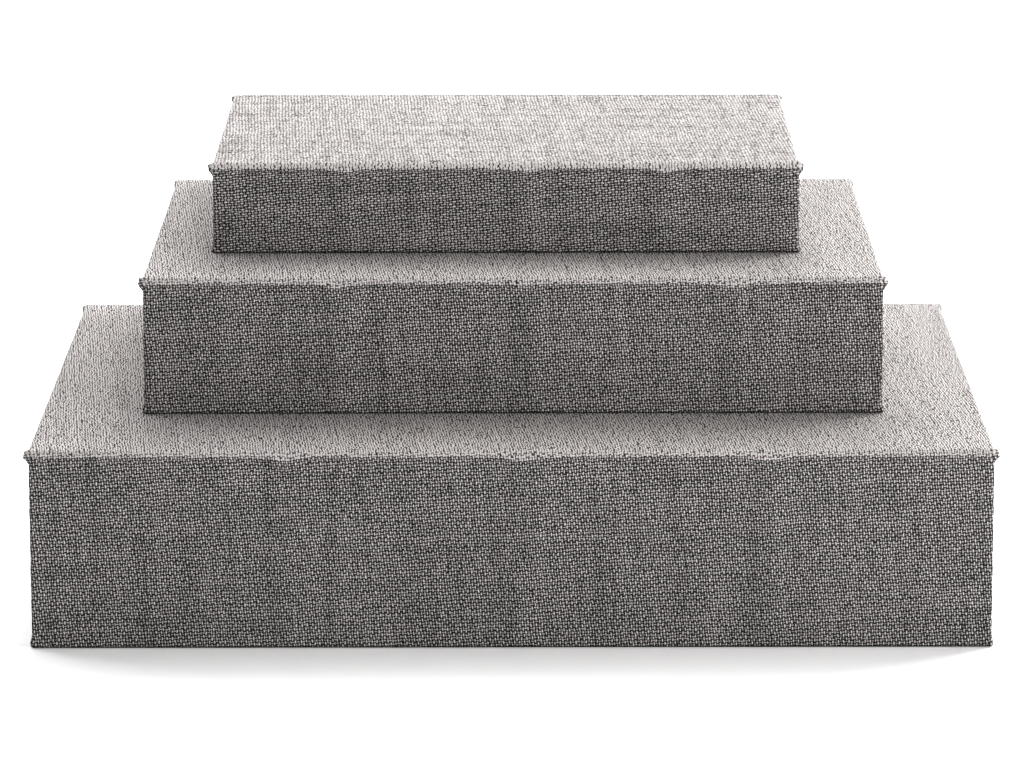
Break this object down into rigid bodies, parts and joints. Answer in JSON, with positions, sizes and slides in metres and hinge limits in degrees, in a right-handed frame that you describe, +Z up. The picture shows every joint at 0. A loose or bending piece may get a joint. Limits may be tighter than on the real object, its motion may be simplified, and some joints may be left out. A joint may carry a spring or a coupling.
{
  "type": "sliding drawer gift box set",
  "caption": "Linen-covered gift boxes of falling size stacked as steps, each a board sleeve with a lined drawer that slides out of its right end.",
  "frame": {"origin": "middle of the large box's footprint, on the surface that the stack stands on", "axes": "+X to the right along the spines, the way the drawers open; -Y towards the spines, the side seen in the picture; +Z up"},
  "size_m": [0.3332, 0.248, 0.152],
  "materials": {
    "linen": "coarse plain-weave linen in mixed greys, matt",
    "greyboard": "raw grey box board",
    "lining_paper": "light grey uncoated paper",
    "base_card": "dark grey smooth card",
    "band_tape": "flat cotton tape",
    "stay_tape": "gummed kraft tape",
    "ribbon": "grey ribbed ribbon"
  },
  "bodies": {
    "large_sleeve": {"large_sleeve_top_board": "greyboard", "large_sleeve_bottom_board": "greyboard", "large_sleeve_front_board": "greyboard", "large_sleeve_back_board": "greyboard", "large_sleeve_end_board": "greyboard", "large_sleeve_spine_bands": "band_tape", "large_sleeve_base_card": "base_card", "large_sleeve_linen": "linen", "large_sleeve_end_linen": "linen", "large_sleeve_lining": "lining_paper"},
    "large_drawer": {"large_drawer_base_board": "greyboard", "large_drawer_pull_end_wall": "greyboard", "large_drawer_inner_end_wall": "greyboard", "large_drawer_front_side_wall": "greyboard", "large_drawer_back_side_wall": "greyboard", "large_drawer_corner_stays": "stay_tape", "large_drawer_linen": "linen", "large_drawer_lining": "lining_paper", "large_drawer_floor_pad": "lining_paper", "large_drawer_pull_ribbon": "ribbon"},
    "medium_sleeve": {"medium_sleeve_top_board": "greyboard", "medium_sleeve_bottom_board": "greyboard", "medium_sleeve_front_board": "greyboard", "medium_sleeve_back_board": "greyboard", "medium_sleeve_end_board": "greyboard", "medium_sleeve_spine_bands": "band_tape", "medium_sleeve_base_card": "base_card", "medium_sleeve_linen": "linen", "medium_sleeve_end_linen": "linen", "medium_sleeve_lining": "lining_paper"},
    "medium_drawer": {"medium_drawer_base_board": "greyboard", "medium_drawer_pull_end_wall": "greyboard", "medium_drawer_inner_end_wall": "greyboard", "medium_drawer_front_side_wall": "greyboard", "medium_drawer_back_side_wall": "greyboard", "medium_drawer_corner_stays": "stay_tape", "medium_drawer_linen": "linen", "medium_drawer_lining": "lining_paper", "medium_drawer_floor_pad": "lining_paper", "medium_drawer_pull_ribbon": "ribbon"},
    "small_sleeve": {"small_sleeve_top_board": "greyboard", "small_sleeve_bottom_board": "greyboard", "small_sleeve_front_board": "greyboard", "small_sleeve_back_board": "greyboard", "small_sleeve_end_board": "greyboard", "small_sleeve_spine_bands": "band_tape", "small_sleeve_base_card": "base_card", "small_sleeve_linen": "linen", "small_sleeve_end_linen": "linen", "small_sleeve_lining": "lining_paper"},
    "small_drawer": {"small_drawer_base_board": "greyboard", "small_drawer_pull_end_wall": "greyboard", "small_drawer_inner_end_wall": "greyboard", "small_drawer_front_side_wall": "greyboard", "small_drawer_back_side_wall": "greyboard", "small_drawer_corner_stays": "stay_tape", "small_drawer_linen": "linen", "small_drawer_lining": "lining_paper", "small_drawer_floor_pad": "lining_paper", "small_drawer_pull_ribbon": "ribbon"}
  },
  "joints": [
    {"name": "large_drawer_slide", "type": "slide", "parent": "large_sleeve", "child": "large_drawer", "axis": [1, 0, 0], "range_m": [0, 0.258]},
    {"name": "medium_drawer_slide", "type": "slide", "parent": "medium_sleeve", "child": "medium_drawer", "axis": [1, 0, 0], "range_m": [0, 0.2]},
    {"name": "small_drawer_slide", "type": "slide", "parent": "small_sleeve", "child": "small_drawer", "axis": [1, 0, 0], "range_m": [0, 0.16]},
    {"name": "medium_box_lift", "type": "slide", "parent": "large_sleeve", "child": "medium_sleeve", "axis": [0, 0, 1], "range_m": [0, 0.1]},
    {"name": "small_box_lift", "type": "slide", "parent": "medium_sleeve", "child": "small_sleeve", "axis": [0, 0, 1], "range_m": [0, 0.1]}
  ]
}
